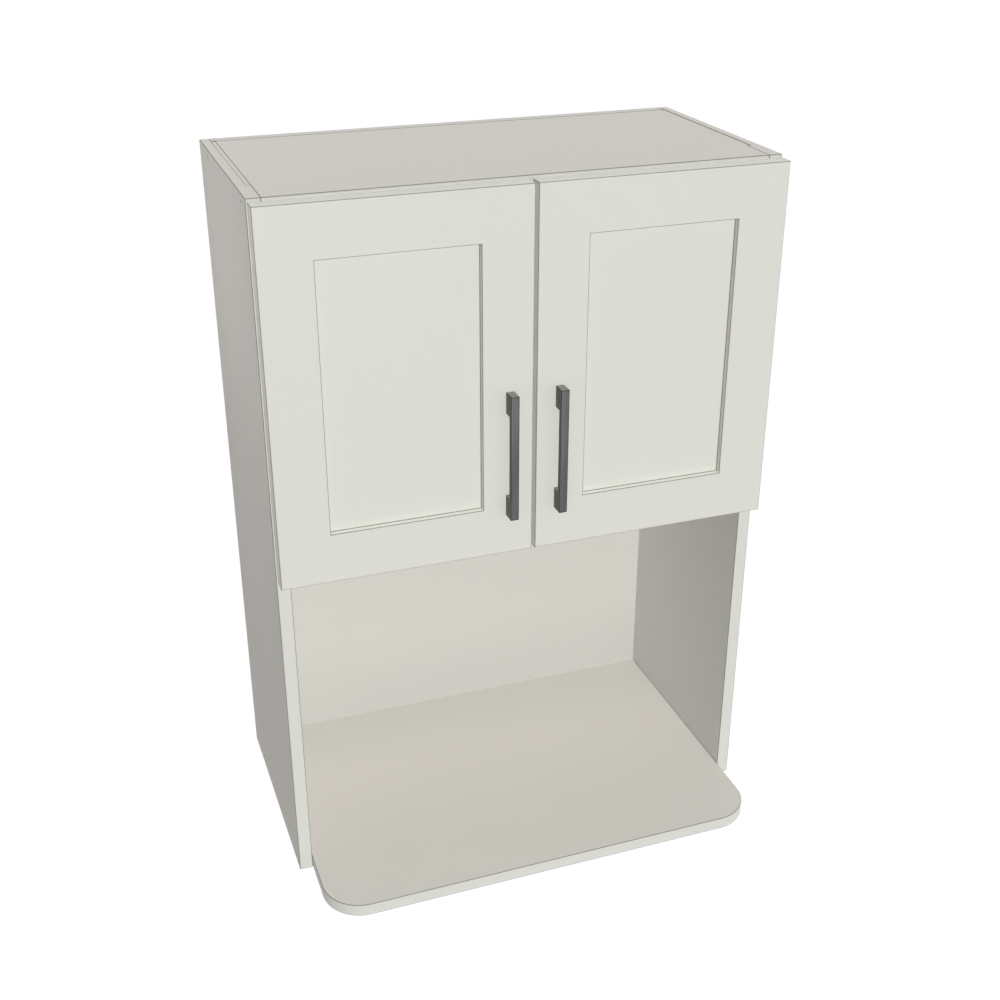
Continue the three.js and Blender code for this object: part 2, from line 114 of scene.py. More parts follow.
scene = bpy.context.scene
camera_data = bpy.data.cameras.new("camera")
camera_data.lens = camera_data.sensor_width / 2 / math.tan(math.radians(VIEW_ANGLE / 2))
camera_data.clip_end = 100
scene.camera = bring_in("camera", camera_data, EYE, direction(AZIMUTH, ELEVATION))
scene.view_settings.view_transform = "Standard"
print("lens:", round(camera_data.lens, 2), "mm")

# %% [markdown]
# ## Formulas for node networks
# A finish is a small network of nodes, and so is a recipe for a shape. A network is easier to read
# as a formula. One class stands for a node's output and turns each arithmetic sign into a Math
# node. Another holds the network and makes every other kind of node through a single method.


# %% A node's output as a number
class Wire:
    def __init__(self, network, socket):
        self.network = network
        self.socket = socket

    def math(self, operation, *others):
        return self.network.node("ShaderNodeMath", {"operation": operation}, [self, *others])

    def __add__(self, other):
        return self.math("ADD", other)

    def __sub__(self, other):
        return self.math("SUBTRACT", other)

    def __rsub__(self, other):
        settings = {"operation": "SUBTRACT"}
        return self.network.node("ShaderNodeMath", settings, [other, self])

    def __mul__(self, other):
        return self.math("MULTIPLY", other)

    def __truediv__(self, other):
        return self.math("DIVIDE", other)

    __radd__ = __add__
    __rmul__ = __mul__

    def low(self, other):
        return self.math("MINIMUM", other)

    def high(self, other):
        return self.math("MAXIMUM", other)

    def size(self):
        return self.math("ABSOLUTE")

    def between(self, low, high):
        """Distance to the nearer of two limits, below 0 outside them."""
        return (self - low).low(high - self)

    def rises(self, start, end):
        """0 below start, 1 above end, and a smooth rise in between."""
        settings = {"interpolation_type": "SMOOTHSTEP"}
        return self.network.node("ShaderNodeMapRange", settings, [self, start, end])


# %% A network and its nodes
class Network:
    def __init__(self, tree):
        self.tree = tree

    def node(self, kind, settings=None, inputs=(), output=0):
        """A new node: its settings come first, then the values and wires that it is fed."""
        made = self.tree.nodes.new(kind)
        for key, value in (settings or {}).items():
            setattr(made, key, value)
        pairs = inputs.items() if isinstance(inputs, dict) else enumerate(inputs)
        for key, value in pairs:
            self.feed(made.inputs[key], value)
        return Wire(self, made.outputs[output])

    def feed(self, socket, value):
        wires = value if isinstance(value, list) else [value]
        for wire in wires:
            if isinstance(wire, Wire):
                self.tree.links.new(wire.socket, socket)
            else:
                socket.default_value = wire


# %% A finish
class Finish(Network):
    def __init__(self, name, **constant):
        self.material = bpy.data.materials.new(name)
        self.material.use_nodes = True
        super().__init__(self.material.node_tree)
        self.shader = self.tree.nodes["Principled BSDF"]
        self.finish(**constant)
        self.place = self.node("ShaderNodeTexCoord", output="Object")
        self.x, self.y, self.z = self.parts(self.place)

    def parts(self, vector):
        return [self.node("ShaderNodeSeparateXYZ", inputs=[vector], output=axis) for axis in "XYZ"]

    def mix(self, share, first, second):
        """A colour between first, where share is 0, and second, where it is 1."""
        inputs = {0: share, 6: first, 7: second}
        return self.node("ShaderNodeMix", {"data_type": "RGBA"}, inputs, output=2)

    def noise(self, per_metre, detail=2.0, stretch=(1, 1, 1)):
        """Cloudy noise between 0 and 1, with about so many clouds to a metre."""
        place = self.node("ShaderNodeMapping", inputs={"Vector": self.place, "Scale": stretch})
        inputs = {"Vector": place, "Scale": per_metre, "Detail": detail}
        return self.node("ShaderNodeTexNoise", inputs=inputs)

    def cloudy(self, clouds, tone, darkest=0.985, palest=1.015):
        """A colour that wanders a little, as a printed or sprayed film does."""
        return self.mix(clouds, shade(tone, darkest), shade(tone, palest))

    def facing_up(self):
        """1 on a level top, 0 on an upright face and -1 underneath."""
        return self.parts(self.node("ShaderNodeTexCoord", output="Normal"))[2]

    def relief(self, height, depth):
        """A bump for the shader's Normal, where height runs from 0 to 1 and depth is in metres."""
        return self.node("ShaderNodeBump", inputs={"Height": height, "Distance": depth})

    def finish(self, **values):
        for socket, value in values.items():
            self.feed(self.shader.inputs[socket.replace("_", " ")], value)
        return self.material


def colour(*on_screen):
    """Red, green and blue as they look on screen, from 11 to 255, turned into light."""
    return (*[(c / 255 + 0.055) ** 2.4 / 1.055**2.4 for c in on_screen], 1.0)


def shade(tone, factor):
    """The same colour with more or less light in it."""
    return (*(c * factor for c in tone[:3]), 1.0)


# %% [markdown]
# ## Where a board's edges run
# The picture draws a fine dark line along every edge: the joint between a face and its edging,
# which gathers shadow and dust. The line could be modelled as a groove, but it is under a
# millimetre wide. So the finish measures it. On any face of a box, one of the three distances to
# the box's faces is zero, and the middle one of the three is the distance to the nearest edge.


# %% Distance to the edges of a box
def middle(a, b, c):
    return a.low(b).high(a.high(b).low(c))


def to_faces(finish, low, high):
    """Distances to the nearer face of a box along X, Y and Z."""
    axes = (finish.x, finish.y, finish.z)
    return [axis.between(a, b).size() for axis, a, b in zip(axes, low, high)]


def to_edge(finish, low, high, depth_share=1.0):
    """Distance to a box's nearest edge. Across the depth it may count for less than it is."""
    x, y, z = to_faces(finish, low, high)
    return middle(x, y * depth_share, z)


def line_at(distance, width):
    """1 on a line, fading to 0 at its width."""
    return 1 - distance.rises(width * 0.3, width)


EDGE_LINE = 1.3 * MM
LINE_STRENGTH = 0.78

# %% [markdown]
# ## Coated board
# The box is made of chipboard with a hard, warm grey coating on both faces and a paler edging
# strip glued along each front edge. A photograph of such a board could be wrapped round it, but
# the coating has no pattern to copy: it is a satin film with a faint pearl texture, so two noises
# and a little relief are nearer to it. The shelf under the oven and the back each have a tone of
# their own, and both are painted darker where they meet, as painted shade in that corner. The
# sides' inner faces are painted paler and cooler, as painted light for the nook's dimmer, warmer
# light. The rear edges, which meet the wall, are left raw.

# %% Colours of the boards and doors
BOARD = colour(211, 206, 199)
BACK_BOARD = colour(207, 205, 199)
# Painted light: the sides' inner faces get a paler, cooler copy of the coating, for the nook's
# dimmer, warmer light.
INNER_BOARD_LIGHTENED = colour(219, 218, 216)
SHELF_BOARD = colour(209, 206, 199)
EDGING = colour(217, 218, 210)
# Painted shade: the edging strip behind the doors is painted darker, as the doors' shadow on it.
EDGING_SHADED_BEHIND_DOORS = colour(203, 204, 197)
DOOR_PAINT = colour(221, 221, 213)
# Painted light: the faces where the doors meet, in the gap, are painted paler than the door.
MEETING_EDGE_LIT = colour(238, 238, 235)
CHIPS_PALE = colour(196, 166, 124)
CHIPS_DARK = colour(128, 94, 60)
LINE_GREY = colour(92, 90, 84)
# Painted shade: boards are painted darker towards the corner where the back meets the shelf.
CORNER_SHADE = colour(170, 171, 166)

EDGING_THICKNESS = 0.8 * MM
COATING_THICKNESS = 0.4 * MM
MOST_CORNER_SHADE = 0.3
CORNER_SHADE_REACH = 150 * MM
DOORS_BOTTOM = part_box("door_right_bottom_rail")[0].z


# %% The coating
class Board(Finish):
    """A board's finish, which knows the board's box and the clouds in its film."""

    def __init__(self, node):
        super().__init__(node + "_coating", Specular_IOR_Level=0.3)
        self.low, self.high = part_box(node)
        self.clouds = self.noise(5.0, detail=3.0)

    def corner_shaded(self, tone, to_corner):
        """Painted shade where a board meets another: darker towards the corner."""
        share = MOST_CORNER_SHADE * (1 - to_corner.size().rises(0, CORNER_SHADE_REACH))
        return self.mix(share, self.cloudy(self.clouds, tone), CORNER_SHADE)

    def edging_in_front(self):
        return 1 - (self.y - self.low.y).rises(EDGING_THICKNESS * 0.8, EDGING_THICKNESS)

    def bare_behind(self, tone):
        """Shows the board's chips on its rear edge, between the coated faces."""
        rear = (self.y - self.high.y).rises(-0.3 * MM, -0.1 * MM)
        depth_in = self.x.between(self.low.x, self.high.x)
        core = depth_in.rises(COATING_THICKNESS, 2 * COATING_THICKNESS)
        chips = self.noise(420.0, detail=4.0, stretch=(1, 1, 0.45)).rises(0.38, 0.62)
        return self.mix(rear * core, tone, self.mix(chips, CHIPS_DARK, CHIPS_PALE))

    def coated(self, tone, line, edging=0.0, bare=False):
        """Joins coating, edging strip, edge lines and the painted shade behind the doors, and says
        how they catch light.
        """
        pearls = self.noise(1100.0, detail=1.0)
        # Painted shade: above the doors' bottom edge the edging strip takes its darker, shaded
        # colour.
        shade_behind_doors = (self.z - DOORS_BOTTOM).rises(0, 3 * MM)
        tone = self.mix(edging, tone, self.mix(shade_behind_doors, EDGING, EDGING_SHADED_BEHIND_DOORS))
        tone = self.mix(line * LINE_STRENGTH, tone, LINE_GREY)
        return self.finish(
            Base_Color=self.bare_behind(tone) if bare else tone,
            Roughness=0.42 + 0.1 * self.clouds + 0.06 * pearls,
            Normal=self.relief(pearls, 0.03 * MM),
        )


def give(node, material):
    mesh = frame["nodes"][node].data
    mesh.materials.clear()
    mesh.materials.append(material)


# %% [markdown]
# ## Boards between the sides
# The sides have shallow housings, and the boards' ends go into them as tongues. On the cabinet's
# top the seams show as two fine lines at each end: one where the board meets the side's inner
# face, and one where the tongue ends. The housings stop short of the front, so the outer line
# turns in there, in a short dark tick. All are measured from the boards' own boxes. The picture
# squeezes what lies flat, so distances in depth count for less, and lines across come out broader.

# %% Lines over the housings
SIDE_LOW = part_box("side_panel_right")[0]
INNER_FACE = SIDE_LOW.x
TONGUE_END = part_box("top_panel")[1].x
HOUSING_STOP = 54 * MM
HOUSING_FRONT = SIDE_LOW.y + HOUSING_STOP
SEAM_LINE = 0.9 * MM
JOINT_STRENGTH = 0.7
TONGUE_STRENGTH = 0.5
TICK_STRENGTH = 0.85
DEPTH_SHARE = 0.65
TICK_SHARE = 0.33


def seam_line(board):
    """The lines where boards and sides meet, on faces that look up or down."""
    across = board.x.size()
    in_front = (HOUSING_FRONT - board.y) * TICK_SHARE
    tongue = (across - TONGUE_END).high(in_front).size().high(INNER_FACE - across)
    tick = in_front.size().high(across - TONGUE_END).high(INNER_FACE - across)
    lines = JOINT_STRENGTH * line_at((across - INNER_FACE).size(), SEAM_LINE)
    lines = lines.high(TONGUE_STRENGTH * line_at(tongue, SEAM_LINE))
    lines = lines.high(TICK_STRENGTH * line_at(tick, SEAM_LINE))
    to_end = board.z.between(board.low.z, board.high.z)
    return lines * (1 - to_end.rises(0.8 * MM, 1.2 * MM))


def lines_on(board, depth_share=DEPTH_SHARE):
    """The lines on a board's edges and over the housings."""
    edge = to_edge(board, board.low, board.high, depth_share)
    return line_at(edge, EDGE_LINE).high(seam_line(board))

# %% The boards' finishes
ONLY_IN_FRONT = 20


def board_finish(node):
    board = Board(node)
    tone = board.cloudy(board.clouds, BOARD)
    return board.coated(tone, lines_on(board), board.edging_in_front())


def back_finish(node):
    """The back has no edging in front, and has painted shade along the oven's shelf."""
    board = Board(node)
    above_shelf = (board.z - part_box("microwave_shelf")[1].z).size()
    behind_front = (board.y - board.low.y) * ONLY_IN_FRONT
    return board.coated(board.corner_shaded(BACK_BOARD, above_shelf.high(behind_front)), lines_on(board))


def side_finish(node):
    """A side is painted a shade cooler and paler inside, as painted light for the nook, and is bare
    chipboard behind.
    """
    board = Board(node)
    inside = 1 - (board.x.size() - INNER_FACE).rises(0.5 * MM, 1 * MM)
    tones = [board.cloudy(board.clouds, tone) for tone in (BOARD, INNER_BOARD_LIGHTENED)]
    tone = board.mix(inside, *tones)
    return board.coated(tone, lines_on(board, 1.0), board.edging_in_front(), bare=True)


for node in ("top_panel", "fixed_shelf", "adjustable_shelf"):
    give(node, board_finish(node))
give("back_panel", back_finish("back_panel"))
for node in ("side_panel_left", "side_panel_right"):
    give(node, side_finish(node))
print("tongues end", round(TONGUE_END / MM, 1), "mm from the middle")

# %% [markdown]
# ## The shelf under the oven
# This board's front corners are rounded, and its edging runs round them, so distances to a box
# are no use there. The outline is a rectangle with round corners, which has a well-known distance
# formula. The edging is wherever the surface faces sideways.

# %% The shelf's finish
SHELF_CORNER = 50 * MM


def rounded_outline(finish, low, high, radius):
    """How deep a point lies inside an outline whose front corners are rounded."""
    half_width = (high.x - low.x) / 2
    across = (finish.x - (low.x + high.x) / 2).size() - (half_width - radius)
    along = low.y + radius - finish.y
    corner = across.high(0) * across.high(0) + along.high(0) * along.high(0)
    outside = corner.math("POWER", 0.5) + across.high(along).low(0)
    return (radius - outside).size()


def shelf_finish(node):
    board = Board(node)
    tongue = Vector((TONGUE_END - INNER_FACE, 0, 0))
    low, high = board.low + tongue, board.high - tongue
    inward = rounded_outline(board, low, high, SHELF_CORNER)
    line = line_at(inward.high(board.z.between(low.z, high.z).size()), EDGE_LINE)
    # Painted shade: the shelf is painted darker towards the back panel.
    tone = board.corner_shaded(SHELF_BOARD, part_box("back_panel")[0].y - board.y)
    return board.coated(tone, line, 1 - board.facing_up().size().rises(0.3, 0.6))


give("microwave_shelf", shelf_finish("microwave_shelf"))
print("shelf corner radius", SHELF_CORNER / MM, "mm")

# %% [markdown]
# ## Painted doors
# The doors are sprayed in the edging's colour, frame and panel together. The paint hides the
# joints between stiles and rails, and only its outline and the shoulders round the panel show as
# lines. One finish therefore serves a whole door: it measures from the door's box and from the
# rectangle that the frame leaves open. A slow noise gives the sprayed film its uneven gloss, and
# a quick one the orange-peel surface. The edges where the doors meet are paler in the picture,
# and here they are painted paler, as painted light in the gap between the doors.

# %% Where the doors' edges and openings are
DOOR_PIECES = ("meeting_stile", "hinge_stile", "bottom_rail", "top_rail")
SHOULDER_LINE = 1.1 * MM


def door_box(side):
    """The box round a door's stiles and rails."""
    boxes = [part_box(f"door_{side}_{piece}") for piece in DOOR_PIECES]
    low = Vector(map(min, *(box[0] for box in boxes)))
    high = Vector(map(max, *(box[1] for box in boxes)))
    return low, high


def stile_width(side):
    low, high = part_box(f"door_{side}_hinge_stile")
    return high.x - low.x


print("door, mm:", [round(v / MM, 1) for v in door_box("right")[1] - door_box("right")[0]])


# %% The doors' paint
def door_finish(side):
    low, high = door_box(side)
    centre, half = (low + high) / 2, (high - low) / 2
    panel_low, panel_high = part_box(f"door_{side}_panel")
    finish = Finish(f"door_{side}_paint", Specular_IOR_Level=0.3)

    outline = line_at(to_edge(finish, low, high), EDGE_LINE)
    across = (finish.x - centre.x).size() - (half.x - stile_width(side))
    upwards = (finish.z - centre.z).size() - (half.z - stile_width(side))
    shoulder = across.high(upwards).size()
    depths = [(finish.y - y).size() for y in (low.y, panel_low.y, panel_high.y, high.y)]
    nearest = depths[0].low(depths[1]).low(depths[2]).low(depths[3])
    line = outline.high(line_at(shoulder.high(nearest), SHOULDER_LINE))

    clouds = finish.noise(4.0, detail=3.0)
    peel = finish.noise(450.0, detail=1.0)
    from_middle = finish.x.size() - min(abs(low.x), abs(high.x))
    tone = finish.cloudy(clouds, DOOR_PAINT)
    # Painted light: the meeting face in the gap takes the paler colour.
    tone = finish.mix(from_middle.rises(0.3 * MM, 0.6 * MM), MEETING_EDGE_LIT, tone)
    tone = finish.mix(line * LINE_STRENGTH, tone, LINE_GREY)
    return finish.finish(
        Base_Color=tone,
        Roughness=0.38 + 0.08 * clouds + 0.05 * peel,
        Normal=finish.relief(peel, 0.05 * MM),
    )


door_paint = {side: door_finish(side) for side in SIDES}
for side, paint in door_paint.items():
    give(f"door_{side}_panel", paint)
print("paint:", [paint.name for paint in door_paint.values()])

# %% [markdown]
# ## Metals
# Three metals are in sight. The pulls are dark, with a fine upright brushing under a satin
# lacquer, and their tops are painted paler in specks, as painted light from above. The hinges and
# shelf pins are nickel plated, and the screws are zinc plated, which is duller and a little bluer.
# Brushing is noise drawn out along one direction, and plating is noise in the roughness alone.

# %% Brushed dark metal
PULL_DARK, PULL_PALE = colour(72, 72, 71), colour(92, 91, 90)
PULL_STREAKS = colour(110, 109, 107)
# Painted light: paler colours for the pulls' up-facing faces, as light from above.
PULL_TOP_LIGHT = colour(112, 111, 108), colour(148, 147, 144)
PULL_LINE_BLACK = colour(30, 30, 29)
PULL_LINE = 1.0 * MM
PULL_HEIGHT_SHARE = 0.6


def brushed(name, low, high):
    """Made for the right-hand pull's box. The left-hand one lies as far from the middle."""
    finish = Finish(name, Specular_IOR_Level=0.5)
    brushing = finish.noise(2200.0, detail=3.0, stretch=(1, 1, 0.012))
    streaks = finish.noise(420.0, detail=2.0, stretch=(1, 1, 0.03)).rises(0.35, 0.75)
    specks = finish.noise(700.0, detail=2.0)
    upwards = finish.facing_up().rises(0.5, 0.9)
    finish.x = finish.x.size()
    x, y, z = to_faces(finish, low, high)
    line = line_at(middle(x, y, z * PULL_HEIGHT_SHARE), PULL_LINE)
    tone = finish.mix(brushing, PULL_DARK, PULL_PALE)
    tone = finish.mix(streaks * 0.6, tone, PULL_STREAKS)
    # Painted light: faces that look up are painted paler, in specks, as light from above.
    top_light = finish.mix(specks.rises(0.35, 0.65), *PULL_TOP_LIGHT)
    tone = finish.mix(upwards * 0.9, tone, top_light)
    tone = finish.mix(line * 0.85, tone, PULL_LINE_BLACK)
    return finish.finish(
        Base_Color=tone,
        Metallic=0.25 + 0.2 * brushing,
        Roughness=0.55 + 0.12 * brushing,
        Normal=finish.relief(brushing, 0.02 * MM),
    )


# %% Plated steel
def plated(name, tone, roughness):
    finish = Finish(name)
    clouds = finish.noise(60.0, detail=4.0)
    grain = finish.noise(2500.0, detail=1.0)
    return finish.finish(
        Base_Color=finish.cloudy(clouds, tone, 0.93, 1.05),
        Metallic=0.94 + 0.05 * clouds,
        Roughness=roughness - 0.05 + 0.1 * clouds + 0.05 * grain,
        Normal=finish.relief(grain, 0.01 * MM),
    )


NICKEL = plated("nickel_plate", colour(176, 175, 171), 0.4)
PULL_METAL = ("pull_metal", brushed("brushed_pull", *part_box("pull_right")))
PIN_STEEL = ("pin_steel", NICKEL)
HINGE_STEEL = ("hinge_steel", NICKEL)
SCREW_STEEL = ("screw_steel", plated("zinc_plate", colour(104, 102, 98), 0.42))
for slot, metal in (PULL_METAL, PIN_STEEL, HINGE_STEEL, SCREW_STEEL):
    print(slot, "is", metal.name)

# %% [markdown]
# ## Recipes for shapes
# Some shapes follow a rule, and Geometry Nodes can state the rule once: a door's frame is one
# outline carried round a rectangle, and the screws are one screw put in many places. A recipe is
# a network whose named inputs are the sizes. It is run on a small source mesh, and the result is
# kept as a plain mesh, so nothing is left to be worked out later.


# %% A recipe, and how it is run
class Recipe(Network):
    """A shape's recipe, fed with a source mesh, a finish, and sizes listed by their kind."""

    def __init__(self, name, **sizes):
        super().__init__(bpy.data.node_groups.new(name, "GeometryNodeTree"))
        face = self.tree.interface
        sizes = {"Geometry": ["Source"], **sizes, "Material": ["Finish"]}
        for kind, titles in sizes.items():
            for title in titles:
                face.new_socket(title, in_out="INPUT", socket_type="NodeSocket" + kind)
        face.new_socket("Shape", in_out="OUTPUT", socket_type="NodeSocketGeometry")
        self.entry = self.tree.nodes.new("NodeGroupInput")

    def size(self, title):
        return Wire(self, self.entry.outputs[title])

    def move(self, shape, **how):
        """Turns, scales and shifts a shape."""
        return self.node("GeometryNodeTransform", inputs={"Geometry": shape, **how})

    def vector(self, x=0.0, y=0.0, z=0.0):
        return self.node("ShaderNodeCombineXYZ", inputs=[x, y, z])

    def mesh(self, kind, settings=None, **inputs):
        """One of the nodes that make a mesh, such as Cube, Cone or Boolean."""
        inputs = {title.replace("_", " "): value for title, value in inputs.items()}
        return self.node("GeometryNodeMesh" + kind, settings, inputs)

    def boolean(self, operation, **meshes):
        """Several meshes as one, or Mesh 1 without what Mesh 2 takes up."""
        return self.mesh("Boolean", {"operation": operation, "solver": "EXACT"}, **meshes)

    def ends_in(self, shape):
        shape = self.node("GeometryNodeRealizeInstances", inputs=[shape])
        inputs = {"Geometry": shape, "Material": self.size("Finish")}
        shape = self.node("GeometryNodeSetMaterial", inputs=inputs)
        self.tree.links.new(shape.socket, self.tree.nodes.new("NodeGroupOutput").inputs[0])
        print(self.tree.name, "has", len(self.tree.nodes), "nodes")

    def run(self, name, source, **sizes):
        """The plain mesh that the recipe makes of a source mesh, with these sizes."""
        maker = bring_in(name, source)
        modifier = maker.modifiers.new("recipe", "NODES")
        modifier.node_group = self.tree
        for socket in self.tree.interface.items_tree:
            if socket.name in sizes:
                modifier[socket.identifier] = sizes[socket.name]
        return plain_mesh(maker, name)


def plain_mesh(maker, name):
    """What an object shows, as a mesh. The object and its modifiers are taken away."""
    now = bpy.context.evaluated_depsgraph_get()
    mesh = bpy.data.meshes.new_from_object(maker.evaluated_get(now))
    mesh.name = name
    maker.modifiers.clear()
    bpy.data.objects.remove(maker)
    return mesh


# %% Putting a finished mesh on its body
def rounded_shading(mesh, sharpest):
    """Shades a mesh as smooth, except over edges that turn by more than so many degrees."""
    shape = bmesh.new()
    shape.from_mesh(mesh)
    for face in shape.faces:
        face.smooth = True
    for edge in shape.edges:
        edge.smooth = edge.calc_face_angle(0) < math.radians(sharpest)
    shape.to_mesh(mesh)
    shape.free()


def put(name, mesh, body, slot, finish, *nodes, sharpest=35):
    """Shows a finished mesh in place of the construction's nodes that it stands for."""
    rounded_shading(mesh, sharpest)
    made = bring_in(name, mesh)
    mesh.materials.clear()
    mesh.materials.append(finish)
    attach(made, body)
    if nodes:
        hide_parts(*nodes)
    print(name, "has", len(mesh.polygons), "faces")


# %% [markdown]
# ## The doors' frames
# Stiles and rails could be shown as they were built, but a hair's breadth is left at their joints
# that paint would fill. So each frame becomes one piece. Its outline, a block with softly rounded
# corners, is carried round the door's rectangle. At a mitre the outline stands at 45 degrees, so
# it is drawn wider by the square root of two. Then the cups' two bores are cut from the back.

# %% The frame's outline
OUTER_ROUNDING = 1.1 * MM
INNER_ROUNDING = 0.4 * MM
CORNER_STEPS = 4


def frame_outline(width, thickness):
    """The outline as a ring of edges. X runs in from the door's edge, and Y from its face."""
    ring = []
    corners = [
        (0, 0, OUTER_ROUNDING, 180),
        (width, 0, INNER_ROUNDING, 270),
        (width, thickness, INNER_ROUNDING, 0),
        (0, thickness, INNER_ROUNDING, 90),
    ]
    for x, y, rounding, start in corners:
        centre = Vector((abs(x - rounding), abs(y - rounding)))
        turns = [math.radians(start + 90 * step / CORNER_STEPS) for step in range(CORNER_STEPS + 1)]
        bend = [centre + rounding * Vector((math.cos(turn), math.sin(turn))) for turn in turns]
        onwards = [rounding / 2 * Vector((-math.sin(turn), math.cos(turn))) for turn in turns]
        for point in (bend[0] - onwards[0], *bend, bend[-1] + onwards[-1]):
            ring.append((point.x, point.y, 0))
    edges = [(i, (i + 1) % len(ring)) for i in range(len(ring))]
    mesh = bpy.data.meshes.new("frame_outline")
    mesh.from_pydata(ring, edges, [])
    return mesh


# %% The recipe for a frame
framed = Recipe(
    "door_frame",
    Float=["Width", "Height", "Cup_Radius", "Cup_Depth"],
    Vector=["Centre", "Lower_Cup", "Upper_Cup"],
)
MITRE = math.sqrt(2)
QUARTER_TURN = math.pi / 2

outline = framed.node("GeometryNodeMeshToCurve", inputs=[framed.size("Source")])
outline = framed.move(outline, Scale=(-MITRE, 1, 1))
rectangle = [framed.size("Width"), framed.size("Height")]
round_path = framed.node("GeometryNodeCurvePrimitiveQuadrilateral", inputs=rectangle)
swept = framed.node("GeometryNodeCurveToMesh", inputs=[round_path, outline])
swept = framed.move(swept, Rotation=(QUARTER_TURN, 0, 0))
swept = framed.move(swept, Translation=framed.size("Centre"))

through = 2 * framed.size("Cup_Depth")
bore = framed.mesh("Cylinder", Vertices=48, Radius=framed.size("Cup_Radius"), Depth=through)
bore = framed.move(bore, Rotation=(QUARTER_TURN, 0, 0))
bores = [framed.move(bore, Translation=framed.size(f"{level}_Cup")) for level in ("Lower", "Upper")]
framed.ends_in(framed.boolean("DIFFERENCE", Mesh_1=swept, Mesh_2=bores))

# %% Both frames
CUP_BORE_ROOM = 0.1 * MM
for side in SIDES:
    low, high = door_box(side)
    centre = (low + high) / 2
    lower_cup, upper_cup = [box_centre(f"hinge_cup_{side}_{level}") for level in LEVELS]
    cup_low, cup_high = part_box(f"hinge_cup_{side}_lower")
    mesh = framed.run(
        f"door_{side}_frame",
        frame_outline(stile_width(side), high.y - low.y),
        Width=high.x - low.x,
        Height=high.z - low.z,
        Centre=(centre.x, low.y, centre.z),
        Lower_Cup=(lower_cup.x, high.y, lower_cup.z),
        Upper_Cup=(upper_cup.x, high.y, upper_cup.z),
        Cup_Radius=(cup_high.x - cup_low.x) / 2 + CUP_BORE_ROOM,
        Cup_Depth=high.y - cup_low.y + CUP_BORE_ROOM,
        Finish=door_paint[side],
    )
    nodes = [f"door_{side}_{piece}" for piece in DOOR_PIECES]
    body, paint = f"door_{side}", door_paint[side]
    put(f"door_{side}_frame", mesh, body, "door_paint", paint, *nodes, sharpest=40)

# %% [markdown]
# ## Shapes for the hardware
# Everything small is made from four kinds of shape. A turned shape is an outline spun about a
# line, a block has eased edges, a prism is an outline pushed straight through, and a plate is cut
# from sheet with holes in it. Each is a little mesh of its own, and a piece is several of them
# gathered into one.

# %% Turned shapes
TURNED_SIDES = 40


def turned(outline, at, way):
    """An outline of (radius, height) pairs, spun about the line from `at` towards `way`."""
    shape = bmesh.new()
    points = [shape.verts.new((radius, 0, height)) for radius, height in outline]
    edges = [shape.edges.new(pair) for pair in zip(points, points[1:])]
    round_z = {"axis": (0, 0, 1), "cent": (0, 0, 0), "angle": math.tau, "steps": TURNED_SIDES}
    bmesh.ops.spin(shape, geom=points + edges, **round_z)
    stand = Vector(way).to_track_quat("Z", "Y").to_matrix().to_4x4()
    shape.transform(Matrix.Translation(at) @ stand)
    return shape


# %% Blocks and prisms
def ease(shape, width):
    """Rounds every edge a little."""
    edges = [edge for edge in shape.edges if edge.calc_face_angle(0) > math.radians(30)]
    bmesh.ops.bevel(shape, geom=edges, offset=width, segments=2, profile=0.5, affect="EDGES")
    return shape


def block(low, high, easing):
    shape = bmesh.new()
    bmesh.ops.create_cube(shape, size=1)
    low, high = Vector(low), Vector(high)
    size = Matrix.Diagonal((*(high - low), 1))
    shape.transform(Matrix.Translation((low + high) / 2) @ size)
    return ease(shape, easing)


def prism(outline, across, start, end, easing):
    """An outline pushed from start to end along an axis: 0 for X, 1 for Y, 2 for Z."""
    shape = bmesh.new()
    rings = []
    for along in (start, end):
        places = [(*point[:across], along, *point[across:]) for point in outline]
        rings.append([shape.verts.new(place) for place in places])
    bottom, top = rings
    shape.faces.new(bottom)
    shape.faces.new(top)
    for i in range(len(outline)):
        j = (i + 1) % len(outline)
        shape.faces.new((bottom[i], bottom[j], top[j], top[i]))
    bmesh.ops.recalc_face_normals(shape, faces=shape.faces)
    return ease(shape, easing)


# %% Plates with holes
def arc(centre, radius, start, end, steps):
    """Points along an arc between two angles in degrees."""
    turns = [math.radians(start + (end - start) * i / steps) for i in range(steps + 1)]
    return [(centre[0] + radius * math.cos(t), centre[1] + radius * math.sin(t)) for t in turns]


def round_hole(centre, radius):
    return arc(centre, radius, 0, 360 * (1 - 1 / TURNED_SIDES), TURNED_SIDES - 1)


def round_cornered(half_width, half_height, radius):
    a, b = half_width - radius, half_height - radius
    quarters = [((a, b), 0), ((-a, b), 90), ((-a, -b), 180), ((a, -b), 270)]
    corners = [arc(centre, radius, start, start + 90, 6) for centre, start in quarters]
    return [point for corner in corners for point in corner]


def plate(outlines, thickness, place, easing):
    """A plate of the first outline, with the others as holes. It lies in XY before `place`."""
    curve = bpy.data.curves.new("plate", "CURVE")
    curve.dimensions = "2D"
    curve.fill_mode = "BOTH"
    curve.extrude = thickness / 2 - easing
    curve.bevel_depth = easing
    curve.offset = -easing
    for outline in outlines:
        line = curve.splines.new("POLY")
        line.points.add(len(outline) - 1)
        for point, (x, y) in zip(line.points, outline):
            point.co = (x, y, 0, 1)
        line.use_cyclic_u = True
    shape = bmesh.new()
    shape.from_mesh(plain_mesh(bring_in("plate", curve), "plate"))
    shape.transform(place)
    return shape

